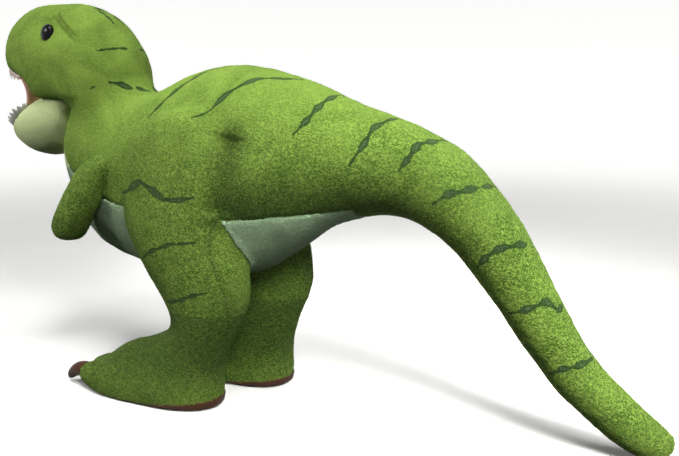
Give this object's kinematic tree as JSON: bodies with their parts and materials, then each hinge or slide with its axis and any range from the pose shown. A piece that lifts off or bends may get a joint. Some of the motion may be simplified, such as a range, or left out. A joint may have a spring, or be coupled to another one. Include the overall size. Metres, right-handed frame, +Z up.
{
  "type": "stuffed dinosaur",
  "caption": "Standing plush two-legged dinosaur with an open felt-toothed mouth, short arms and a long tail that it rests on; head, jaw, arms and tail flex.",
  "frame": {"origin": "on the floor under the middle of the bounding box", "axes": "+Z up, the nose points to -Y and the tail to +Y, the toy's own left side is +X"},
  "size_m": [0.1034, 0.4406, 0.2431],
  "materials": {
    "green_plush": "short-pile plush, mottled green with darker printed stripes",
    "pale_plush": "short-pile plush, pale grey-green",
    "pink_lining": "flat brushed lining",
    "white_felt": "off-white felt",
    "brown_felt": "dark brown felt",
    "black_plastic": "polished black",
    "white_plastic": "natural nylon",
    "stuffing": "white polyester fibre"
  },
  "bodies": {
    "torso": {"torso_cover_left": "green_plush", "torso_cover_right": "green_plush", "belly_panel": "pale_plush", "torso_stuffing": "stuffing", "leg_left_outer_panel": "green_plush", "leg_left_inner_panel": "green_plush", "leg_left_stuffing": "stuffing", "sole_left": "brown_felt", "claw_left_outer": "brown_felt", "claw_left_middle": "brown_felt", "claw_left_inner": "brown_felt", "leg_right_outer_panel": "green_plush", "leg_right_inner_panel": "green_plush", "leg_right_stuffing": "stuffing", "sole_right": "brown_felt", "claw_right_outer": "brown_felt", "claw_right_middle": "brown_felt", "claw_right_inner": "brown_felt"},
    "head": {"head_cover_left": "green_plush", "head_cover_right": "green_plush", "head_stuffing": "stuffing", "palate_lining": "pink_lining", "upper_teeth": "white_felt", "eye_left": "black_plastic", "eye_right": "black_plastic", "eye_washer_left": "white_plastic", "eye_washer_right": "white_plastic"},
    "jaw": {"jaw_cover": "pale_plush", "jaw_lining": "pink_lining", "jaw_stuffing": "stuffing", "lower_teeth": "white_felt"},
    "arm_left": {"arm_left_outer_panel": "green_plush", "arm_left_inner_panel": "green_plush", "arm_left_stuffing": "stuffing"},
    "arm_right": {"arm_right_outer_panel": "green_plush", "arm_right_inner_panel": "green_plush", "arm_right_stuffing": "stuffing"},
    "tail": {"tail_cover_left": "green_plush", "tail_cover_right": "green_plush", "tail_stuffing": "stuffing"}
  },
  "joints": [
    {"name": "neck_nod", "type": "hinge", "parent": "torso", "child": "head", "pos_m": [0, -0.1177, 0.168], "axis": [1, 0, 0], "range_deg": [-10, 10], "stiffness_Nm_per_rad": 1.5},
    {"name": "jaw_close", "type": "hinge", "parent": "head", "child": "jaw", "pos_m": [0, -0.1697, 0.184], "axis": [-1, 0, 0], "range_deg": [0, 12], "stiffness_Nm_per_rad": 0.3},
    {"name": "arm_left_swing", "type": "hinge", "parent": "torso", "child": "arm_left", "pos_m": [0.0385, -0.1077, 0.139], "axis": [-1, 0, 0], "range_deg": [-3, 35], "stiffness_Nm_per_rad": 0.1},
    {"name": "arm_right_swing", "type": "hinge", "parent": "torso", "child": "arm_right", "pos_m": [-0.0385, -0.1077, 0.139], "axis": [-1, 0, 0], "range_deg": [-3, 35], "stiffness_Nm_per_rad": 0.1},
    {"name": "tail_sway", "type": "hinge", "parent": "torso", "child": "tail", "pos_m": [-0.0008, 0.0683, 0.149], "axis": [0, 0, 1], "range_deg": [-22, 22], "stiffness_Nm_per_rad": 1}
  ]
}
